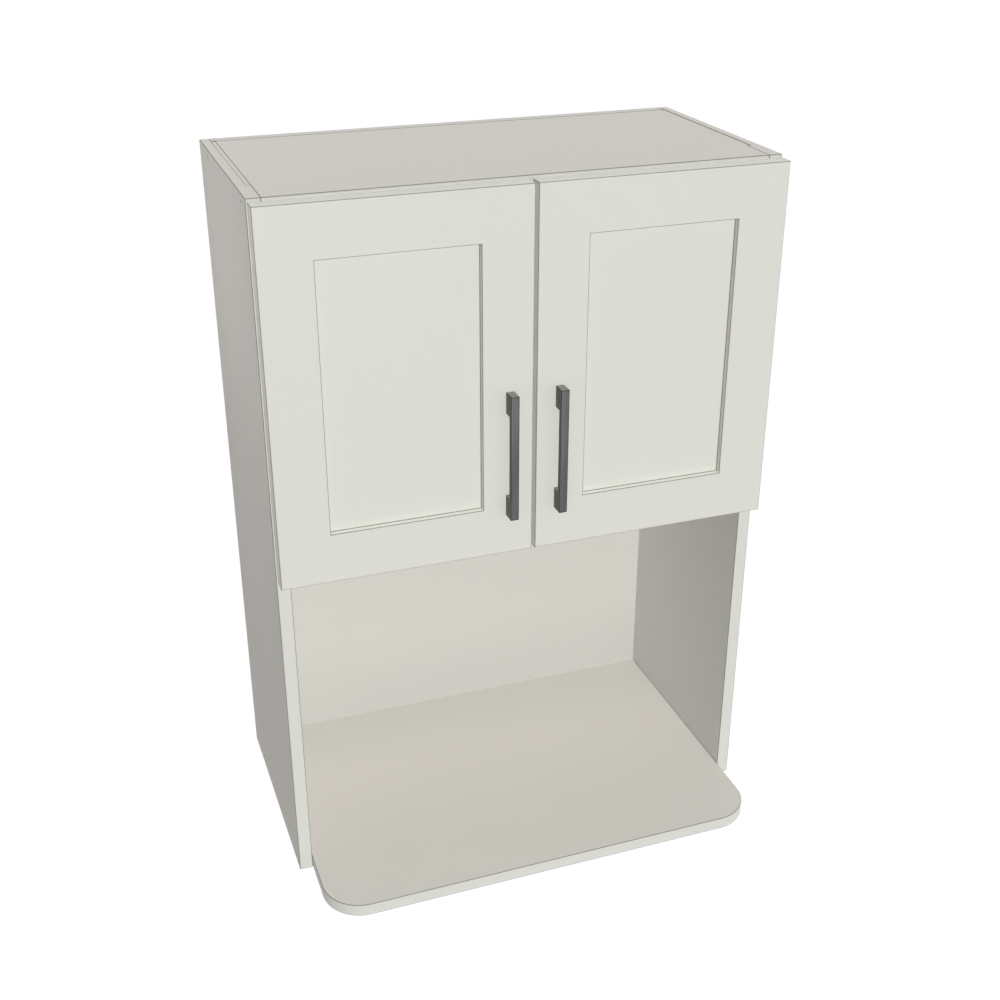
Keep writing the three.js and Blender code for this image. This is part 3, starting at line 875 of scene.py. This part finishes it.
# %% Gathering shapes into a mesh
def gathered(name, shapes, mirrored):
    """One mesh of several shapes, or its mirror image in the cabinet's middle plane."""
    whole = bmesh.new()
    for shape in shapes:
        bmesh.ops.remove_doubles(shape, verts=shape.verts, dist=0.001 * MM)
        if mirrored:
            shape.transform(Matrix.Diagonal((-1, 1, 1, 1)))
        bmesh.ops.recalc_face_normals(shape, faces=shape.faces)
        part = bpy.data.meshes.new("part")
        shape.to_mesh(part)
        whole.from_mesh(part)
        bpy.data.meshes.remove(part)
    mesh = bpy.data.meshes.new(name)
    whole.to_mesh(mesh)
    return mesh


def both_sides(name, node, shapes_for, metal, body="door_{side}", levels=LEVELS):
    """Makes the right-hand pieces inside their nodes' boxes, and mirrors them to the left."""
    for side in ("right", "left"):
        nodes = [node.format(side=side, level=level) for level in levels]
        boxes = [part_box(node.format(side="right", level=level)) for level in levels]
        shapes = [shape for low, high in boxes for shape in shapes_for(low, high)]
        mesh = gathered(f"{name}_{side}", shapes, mirrored=side == "left")
        put(f"{name}_{side}", mesh, body.format(side=side), *metal, *nodes)


# %% [markdown]
# ## Pulls
# A pull is one flat bar on two square legs, cut from solid stock, with its edges just broken so
# that they don't cut the hand. The side view is the whole shape, so it is a prism, pushed across
# the bar's width and then eased. The legs' length follows from the screws, which sit in their
# middles.

# %% The pulls' shape
PULL_BAR = 6.5 * MM


def pull_shapes(low, high):
    leg = 2 * (box_centre("pull_screw_right_lower").z - low.z)
    inner = low.y + PULL_BAR
    side_view = [
        (low.y, low.z),
        (high.y, low.z),
        (high.y, low.z + leg),
        (inner, low.z + leg),
        (inner, high.z - leg),
        (high.y, high.z - leg),
        (high.y, high.z),
        (low.y, high.z),
    ]
    return [prism(side_view, 0, low.x, high.x, easing=0.7 * MM)]


both_sides("pull_bar", "pull_{side}", pull_shapes, PULL_METAL, levels=("",))

# %% [markdown]
# ## Shelf pins
# The loose shelf lies on four pins. Each has a peg in its hole, a thin collar against the panel
# and a flat tab under the shelf. The peg and collar are turned, and the tab is an eased block.

# %% The pins
COLLAR_THICKNESS = 1.0 * MM
PEG_RADIUS = 2.35 * MM
PEG_UNDER_SHELF = 2.4 * MM
COLLAR_RADIUS = 4.0 * MM
COLLAR_ROUNDING = 0.3 * MM
TAB_HALF_WIDTH = 3.5 * MM
TAB_THICKNESS = 3 * MM
TAB_END = INNER_FACE - 0.1 * MM
COLLAR = TAB_END - COLLAR_THICKNESS


def pin_shapes(low, high):
    y = (low.y + high.y) / 2
    shelf_face = high.z
    peg_end = high.x - COLLAR
    outline = [
        (0, 0),
        (COLLAR_RADIUS - COLLAR_ROUNDING, 0),
        (COLLAR_RADIUS, COLLAR_ROUNDING),
        (COLLAR_RADIUS, COLLAR_THICKNESS),
        (PEG_RADIUS, COLLAR_THICKNESS),
        (PEG_RADIUS, peg_end - COLLAR_ROUNDING),
        (PEG_RADIUS - COLLAR_ROUNDING, peg_end),
        (0, peg_end),
    ]
    collar_and_peg = turned(outline, (COLLAR, y, shelf_face - PEG_UNDER_SHELF), (1, 0, 0))
    for point in collar_and_peg.verts:
        point.co.z = min(point.co.z, shelf_face)
    tab_low = (low.x, y - TAB_HALF_WIDTH, shelf_face - TAB_THICKNESS)
    tab_high = (TAB_END, y + TAB_HALF_WIDTH, shelf_face)
    return [collar_and_peg, block(tab_low, tab_high, easing=0.4 * MM)]


node = "shelf_pin_{side}_{level}"
both_sides("shelf_pins", node, pin_shapes, PIN_STEEL, "cabinet", ("front", "rear"))

# %% [markdown]
# ## Hinge cups
# A concealed hinge starts as a pressed steel cup in the door's back. Two wings beside its mouth
# are held by a screw each, and a pin crosses the cup near the door's edge. The cup is turned with
# a rolled rim. The wings are plates with a screw hole, and they end inside the cup's wall, because
# the arm swings out through the mouth, which has to stay open all the way round.

# %% The cups
HINGE_PIN = next(Vector(j["pos_m"]) for j in frame["joints"] if j["name"] == "door_right_swing")
CUP_WALL = 1.0 * MM
WING_HALF_WIDTH = 7.5 * MM
WING_ROUNDING = 6 * MM
WING_IN_WALL = 0.6
FLANGE_THICKNESS = 1.0 * MM
FLANGE_SCREWS_APART = 46 * MM
SCREW_HOLE_RADIUS = 2 * MM
RIM = 0.4 * MM
PIN_RADIUS = 1 * MM
FLAT_ON_DOOR = Matrix.Rotation(-QUARTER_TURN, 4, "X")


def cup_mouth(low, high):
    """The middle of the mouth, on the face of the wings."""
    return Vector(((low.x + high.x) / 2, high.y, (low.z + high.z) / 2))


def wing(inner_radius, reach):
    """The outline of a wing, from a circle round the cup's middle out to its rounded end."""
    spread = math.degrees(math.asin(WING_HALF_WIDTH / inner_radius))
    x, y = WING_HALF_WIDTH - WING_ROUNDING, reach - WING_ROUNDING
    at_cup = arc((0, 0), inner_radius, 90 + spread, 90 - spread, 12)
    return [*at_cup, *arc((x, y), WING_ROUNDING, 0, 90, 6), *arc((-x, y), WING_ROUNDING, 90, 180, 6)]


def cup_outline(radius, depth):
    """Half of the cup's section, from the middle of its bottom round the rim and back."""
    inside = radius - CUP_WALL
    return [
        (0, -depth),
        (radius - 2 * CUP_WALL, -depth),
        (radius, 2 * CUP_WALL - depth),
        (radius, -RIM),
        (radius - RIM, 0),
        (inside + RIM, 0),
        (inside, -RIM),
        (inside, 2 * CUP_WALL - depth),
        (inside - CUP_WALL, CUP_WALL - depth),
        (0, CUP_WALL - depth),
    ]


def cup_shapes(low, high):
    centre, size = cup_mouth(low, high), high - low
    radius = size.x / 2
    upper_wing = wing(radius - CUP_WALL * WING_IN_WALL, size.z / 2)
    outlines = [upper_wing, [(-x, -y) for x, y in upper_wing]]
    for screw_y in (FLANGE_SCREWS_APART / 2, -FLANGE_SCREWS_APART / 2):
        outlines.append(round_hole((0, screw_y), SCREW_HOLE_RADIUS))
    at = Matrix.Translation(centre - Vector((0, FLANGE_THICKNESS / 2, 0)))
    reach = math.sqrt((radius - CUP_WALL) ** 2 - (HINGE_PIN.x - centre.x) ** 2)
    pin = [(0, -reach), (PIN_RADIUS, -reach), (PIN_RADIUS, reach), (0, reach)]
    return [
        turned(cup_outline(radius, size.y), centre, (0, 1, 0)),
        plate(outlines, FLANGE_THICKNESS, at @ FLAT_ON_DOOR, easing=0.25 * MM),
        turned(pin, (HINGE_PIN.x, HINGE_PIN.y, centre.z), (0, 0, 1)),
    ]


both_sides("hinge_cups", "hinge_cup_{side}_{level}", cup_shapes, HINGE_STEEL)

# %% [markdown]
# ## Hinge arms
# The arm starts at the pin inside the cup, crosses it as a strip, bends out past the cabinet's
# front edge and widens into a channel over the mounting plate. The strip is a prism of its bent
# outline. The channel is a prism of its section, with room for the two screws that adjust it.

# %% The arms
STRIP = 1.2 * MM
STRIP_HALF_WIDTH = 4.5 * MM
STRIP_FROM_PIN = 14 * MM
STRIP_END = HINGE_PIN.x - 1.2 * MM
STRIP_BEND = 3 * MM
KNUCKLE_RADIUS = 1.6 * MM
KNUCKLE_BORE = 1.15 * MM
CHANNEL_WALL = 1.2 * MM
CHANNEL_FRONT = SIDE_LOW.y + 1.5 * MM
CHANNEL_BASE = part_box("hinge_plate_right_lower")[0].x - 0.1 * MM


def knuckle(z):
    """The eye round the pin: a short tube."""
    tube = [(KNUCKLE_BORE, -1), (KNUCKLE_RADIUS, -1), (KNUCKLE_RADIUS, 1), (KNUCKLE_BORE, 1)]
    outline = [(radius, end * STRIP_HALF_WIDTH) for radius, end in (*tube, tube[0])]
    return turned(outline, (HINGE_PIN.x, HINGE_PIN.y, z), (0, 0, 1))


def strip(z):
    """The bent strip between the eye and the channel."""
    x, y = HINGE_PIN.x - STRIP_FROM_PIN, HINGE_PIN.y
    bend_centre = (x + STRIP_BEND, y - STRIP / 2 + STRIP_BEND)
    outline = [
        (x, CHANNEL_FRONT + STRIP),
        *arc(bend_centre, STRIP_BEND, 180, 270, 6),
        (STRIP_END, y - STRIP / 2),
        (STRIP_END, y + STRIP / 2),
        *arc(bend_centre, STRIP_BEND - STRIP, 270, 180, 6),
        (x + STRIP, CHANNEL_FRONT + STRIP),
    ]
    return prism(outline, 2, z - STRIP_HALF_WIDTH, z + STRIP_HALF_WIDTH, easing=0.15 * MM)


def channel(low, high):
    """A channel open towards the side panel, and the nose that closes its front end."""
    base, wall = CHANNEL_BASE, CHANNEL_WALL
    outside = [(base, low.z), (low.x, low.z), (low.x, high.z), (base, high.z)]
    top, bottom, back = high.z - wall, low.z + wall, low.x + wall
    inside = [(base, top), (back, top), (back, bottom), (base, bottom)]
    nose_low = (low.x + 0.3 * MM, CHANNEL_FRONT, low.z + 0.5 * MM)
    nose_high = (base, CHANNEL_FRONT + wall, high.z - 0.5 * MM)
    return [
        prism(outside + inside, 1, CHANNEL_FRONT, high.y, easing=0.35 * MM),
        block(nose_low, nose_high, easing=0.3 * MM),
    ]


def arm_shapes(low, high):
    z = (low.z + high.z) / 2
    return [knuckle(z), strip(z), *channel(low, high)]


both_sides("hinge_arms", "hinge_arm_{side}_{level}", arm_shapes, HINGE_STEEL, "cabinet")

# %% [markdown]
# ## Mounting plates
# Each arm is clipped over a cross-shaped plate on the side panel. Two wings take the fixing
# screws, and a rib fills the channel. The wings are a plate with holes, and the rib is a block.

# %% The plates
WINGS_WIDTH = 18 * MM
WINGS_ROUNDING = 5 * MM
WINGS_BEHIND_FRONT = 37 * MM
WING_SCREWS_APART = 32 * MM
RIB_HALF_WIDTH = 4 * MM
FLAT_ON_SIDE = Matrix.Rotation(-QUARTER_TURN, 4, "Y")


def wings_centre(low, high):
    return Vector((low.x, SIDE_LOW.y + WINGS_BEHIND_FRONT, (low.z + high.z) / 2))


def plate_shapes(low, high):
    centre = wings_centre(low, high)
    thickness = high.x - low.x
    outlines = [round_cornered((high.z - low.z) / 2, WINGS_WIDTH / 2, WINGS_ROUNDING)]
    for screw_z in (WING_SCREWS_APART / 2, -WING_SCREWS_APART / 2):
        outlines.append(round_hole((screw_z, 0), SCREW_HOLE_RADIUS))
    at = Matrix.Translation(centre + Vector((thickness / 2, 0, 0)))
    rib_low = (low.x, low.y, centre.z - RIB_HALF_WIDTH)
    rib_high = (high.x, high.y, centre.z + RIB_HALF_WIDTH)
    return [
        plate(outlines, thickness, at @ FLAT_ON_SIDE, easing=0.4 * MM),
        block(rib_low, rib_high, easing=0.3 * MM),
    ]


both_sides("hinge_plates", "hinge_plate_{side}_{level}", plate_shapes, HINGE_STEEL, "cabinet")

# %% [markdown]
# ## Screws
# Forty-odd screws hold the cabinet together, and they differ only in size. One recipe makes them
# all: a domed head on a cone and a shank, with a cross cut into it. It is put on every point of a
# source mesh, turned to face the way that the point names, and spun by chance, because nobody
# lines up the crosses.

# %% The recipe for a screw
HEAD_SIDES = 28
screws = Recipe(
    "screws",
    Float=["Head_Radius", "Dome_Height", "Cone_Depth", "Shank_Radius", "Shank_Length"]
    + ["Cross_Length", "Cross_Width", "Cross_Depth"],
    Int=["Seed"],
)
head_radius = screws.size("Head_Radius")
shank_radius = screws.size("Shank_Radius")
cone_depth = screws.size("Cone_Depth")
shank_length = screws.size("Shank_Length")

dome = screws.mesh("UVSphere", Segments=HEAD_SIDES, Rings=12, Radius=head_radius)
dome = screws.move(dome, Scale=screws.vector(1.0, 1.0, screws.size("Dome_Height") / head_radius))
radii = {"Radius_Top": head_radius, "Radius_Bottom": shank_radius}
cone = screws.mesh("Cone", Vertices=HEAD_SIDES, Depth=cone_depth, **radii)
cone = screws.move(cone, Translation=screws.vector(z=0 - cone_depth))
shank = screws.mesh("Cylinder", Vertices=16, Radius=shank_radius, Depth=shank_length)
shank = screws.move(shank, Translation=screws.vector(z=0 - cone_depth - shank_length / 2))

# %% The cross, and the screws put in their places
depth = screws.size("Cross_Depth") * 2
long, wide = screws.size("Cross_Length"), screws.size("Cross_Width")
crossing = [screws.vector(long, wide, depth), screws.vector(wide, long, depth)]
slots = [screws.mesh("Cube", Size=size) for size in crossing]
head = screws.boolean("UNION", Mesh_2=[dome, cone])
head = screws.boolean("DIFFERENCE", Mesh_1=head, Mesh_2=slots)
screw = screws.node("GeometryNodeJoinGeometry", inputs={"Geometry": [head, shank]})

named = {"data_type": "FLOAT_VECTOR"}
way = screws.node("GeometryNodeInputNamedAttribute", named, {"Name": "way"})
facing = screws.node("FunctionNodeAlignRotationToVector", {"axis": "Z"}, {"Vector": way})
spread = {2: 0.0, 3: math.tau, "Seed": screws.size("Seed")}
chance = screws.node("FunctionNodeRandomValue", {"data_type": "FLOAT"}, spread, output=1)
spin = screws.node("FunctionNodeAxisAngleToRotation", inputs={"Axis": (0, 0, 1), "Angle": chance})
facing = screws.node("FunctionNodeRotateRotation", {"rotation_space": "LOCAL"}, [facing, spin])
placing = {"Points": screws.size("Source"), "Instance": screw, "Rotation": facing}
screws.ends_in(screws.node("GeometryNodeInstanceOnPoints", inputs=placing))



# %% Where screws go
def screw_points(places):
    """A source mesh of places: points, each with the way that its screw's head looks."""
    mesh = bpy.data.meshes.new("screw_points")
    mesh.from_pydata([point for point, way in places], [], [])
    ways = mesh.attributes.new("way", "FLOAT_VECTOR", "POINT")
    for item, (point, way) in zip(ways.data, places):
        item.vector = way
    return mesh


def put_screws(name, places, body, metal, nodes=(), **sizes):
    mesh = screws.run(name, screw_points(places), Finish=metal[1], **sizes)
    put(name, mesh, body, *metal, *nodes)


def in_mm(**sizes):
    return {title: size * MM for title, size in sizes.items()}


def on_side(places, side):
    """The right-hand places, or their mirror images."""
    flip = Vector((1 if side == "right" else -1, 1, 1))
    return [(point * flip, way * flip) for point, way in places]


# %% The screws through the side panels
side_screws = [node for node in frame["nodes"] if node.startswith("side_screw")]
points = []
for node in side_screws:
    low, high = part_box(node)
    outwards = 1 if "_right_" in node else -1
    point = (low + high) / 2
    point.x = high.x if outwards > 0 else low.x
    points.append((point, Vector((outwards, 0, 0))))
sizes = in_mm(
    Head_Radius=3.0,
    Dome_Height=0.15,
    Cone_Depth=2.6,
    Shank_Radius=2.0,
    Shank_Length=40,
    Cross_Length=3.6,
    Cross_Width=1.0,
    Cross_Depth=1.8,
)
put_screws("side_screws", points, "cabinet", SCREW_STEEL, side_screws, Seed=3, **sizes)

# %% The pulls' screws, from inside the doors
HEAD_HEIGHT = 2 * MM
SHANK_GAP = 0.2 * MM
pull_sizes = in_mm(
    Head_Radius=4.0,
    Dome_Height=2.0,
    Cone_Depth=0.1,
    Shank_Radius=2.0,
    Cross_Length=4.6,
    Cross_Width=1.1,
    Cross_Depth=1.9,
)
for side in SIDES:
    nodes = [f"pull_screw_{side}_{level}" for level in LEVELS]
    points = []
    for node in nodes:
        low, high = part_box(node)
        point = (low + high) / 2
        point.y = high.y - HEAD_HEIGHT
        points.append((point, Vector((0, 1, 0))))
    sizes = {**pull_sizes, "Shank_Length": high.y - low.y - HEAD_HEIGHT - SHANK_GAP}
    body = f"door_{side}"
    put_screws(f"pull_screws_{side}", points, body, SCREW_STEEL, nodes, Seed=7, **sizes)

# %% The hinges' screws
FIXING = in_mm(
    Head_Radius=3.4,
    Dome_Height=0.9,
    Cone_Depth=1.2,
    Shank_Radius=1.8,
    Shank_Length=12,
    Cross_Length=3.8,
    Cross_Width=0.9,
    Cross_Depth=1.4,
)
SHORT_FIXING = {**FIXING, "Shank_Length": 3 * MM}
HEAD_SUNK = 0.2 * MM
HEAD_SUNK_IN_ARM = 0.5 * MM
ARM_SCREWS_FROM_WINGS = (-24 * MM, 2 * MM)

cup_screws, plate_screws = [], []
for level in LEVELS:
    mouth = cup_mouth(*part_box(f"hinge_cup_right_{level}"))
    for offset in (-FLANGE_SCREWS_APART / 2, FLANGE_SCREWS_APART / 2):
        cup_screws.append((mouth + Vector((0, -HEAD_SUNK, offset)), Vector((0, 1, 0))))
    arm_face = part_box(f"hinge_arm_right_{level}")[0].x + HEAD_SUNK_IN_ARM
    centre = wings_centre(*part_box(f"hinge_plate_right_{level}"))
    wing_screws = (-WING_SCREWS_APART / 2, WING_SCREWS_APART / 2)
    places = [centre + Vector((HEAD_SUNK, 0, offset)) for offset in wing_screws]
    places += [Vector((arm_face, centre.y + step, centre.z)) for step in ARM_SCREWS_FROM_WINGS]
    plate_screws += [(place, Vector((-1, 0, 0))) for place in places]

for side in SIDES:
    points = on_side(cup_screws, side)
    put_screws(f"cup_screws_{side}", points, f"door_{side}", HINGE_STEEL, Seed=11, **FIXING)
both = on_side(plate_screws, "left") + on_side(plate_screws, "right")
put_screws("plate_screws", both, "cabinet", HINGE_STEEL, Seed=13, **SHORT_FIXING)
print("screws:", len(side_screws) + 4 + 2 * len(cup_screws) + len(both))

# %% [markdown]
# ## Floor and light
# The picture has a white ground and even, nearly shadowless light, strongest from the front. The
# floor is pale and matt. It takes the object's shadow as any floor does, and a faint glow that
# only an eye or a mirror can see lifts it to white. Most of the light comes from lamps that throw
# no shadow, like the many reflectors of a studio, and so the nook is as bright as the doors. The
# sky adds the soft darkening in corners.

# %% The room
FLOOR_REACH = 60.0
FLOOR_GAP = 0.5 * MM
FLOOR_TONE = (0.45, 0.45, 0.45, 1)
FLOOR_GLOW = 0.66
AMBIENT = 0.29


def seen_directly(network):
    """1 where an eye, a mirror or a glass looks, and 0 where light is only passed on."""
    rays = ("Is Camera Ray", "Is Glossy Ray", "Is Transmission Ray")
    eye, mirror, glass = [network.node("ShaderNodeLightPath", output=ray) for ray in rays]
    return eye.high(mirror).high(glass)


floor_z = CONSTRUCTION_BOX[0][2] - FLOOR_GAP
corners = [(-1, -1), (1, -1), (1, 1), (-1, 1)]
floor_mesh = bpy.data.meshes.new("floor")
floor_points = [(x * FLOOR_REACH, y * FLOOR_REACH, floor_z) for x, y in corners]
floor_mesh.from_pydata(floor_points, [], [(0, 1, 2, 3)])
bring_in("floor", floor_mesh)

paper = Finish("floor_paper", Specular_IOR_Level=0.0, Roughness=0.9)
glow = paper.mix(seen_directly(paper), (0, 0, 0, 1), (1, 1, 1, 1))
paper.finish(Base_Color=FLOOR_TONE, Emission_Color=glow, Emission_Strength=FLOOR_GLOW)
floor_mesh.materials.append(paper.material)
print("floor at", round(floor_z / MM, 1), "mm")

# %% The sky
world = bpy.data.worlds.new("studio")
world.use_nodes = True
scene.world = world
sky = Network(world.node_tree)
backdrop = world.node_tree.nodes["Background"]
sky.feed(backdrop.inputs["Color"], (1, 1, 1, 1))
sky.feed(backdrop.inputs["Strength"], AMBIENT + (1 - AMBIENT) * seen_directly(sky))


# %% The lamps
def reflector(name, azimuth, elevation, light):
    """A far, shadowless lamp. Its light is what a face turned to it gets, as a share of full."""
    data = bpy.data.lights.new(name, "SUN")
    data.energy = light * math.pi
    data.angle = math.radians(10)
    data.use_shadow = False
    return bring_in(name, data, facing=direction(azimuth, elevation))


reflector("front_reflector", 0, 5, 0.62)
reflector("top_reflector", 0, 90, 0.46)
reflector("left_reflector", -90, 0, 0.015)
reflector("right_reflector", 90, 0, 0.13)
reflector("rear_reflector", 180, 0, 0.35).visible_glossy = False

# %% [markdown]
# These lamps are suns, whose light doesn't fade with distance. The rear one is kept out of
# reflections, or an open door would mirror it at a flat angle. The left side is brightest near the
# top and darker towards the floor, so a soft disc stands close to it, behind the doors' plane and
# a little below the cabinet's top, where it touches neither the doors nor much of the top.

# %% The lamp by the left side
SIDE_LAMP_PLACE = (-0.56, -0.131, 0.0)
SIDE_LAMP_WIDTH = 0.4
SIDE_LAMP_POWER = 0.205
side_data = bpy.data.lights.new("side_lamp", "AREA")
side_data.shape = "DISK"
side_data.size = SIDE_LAMP_WIDTH
side_data.energy = SIDE_LAMP_POWER
bring_in("side_lamp", side_data, SIDE_LAMP_PLACE, Vector((-1, 0, 0))).visible_camera = False
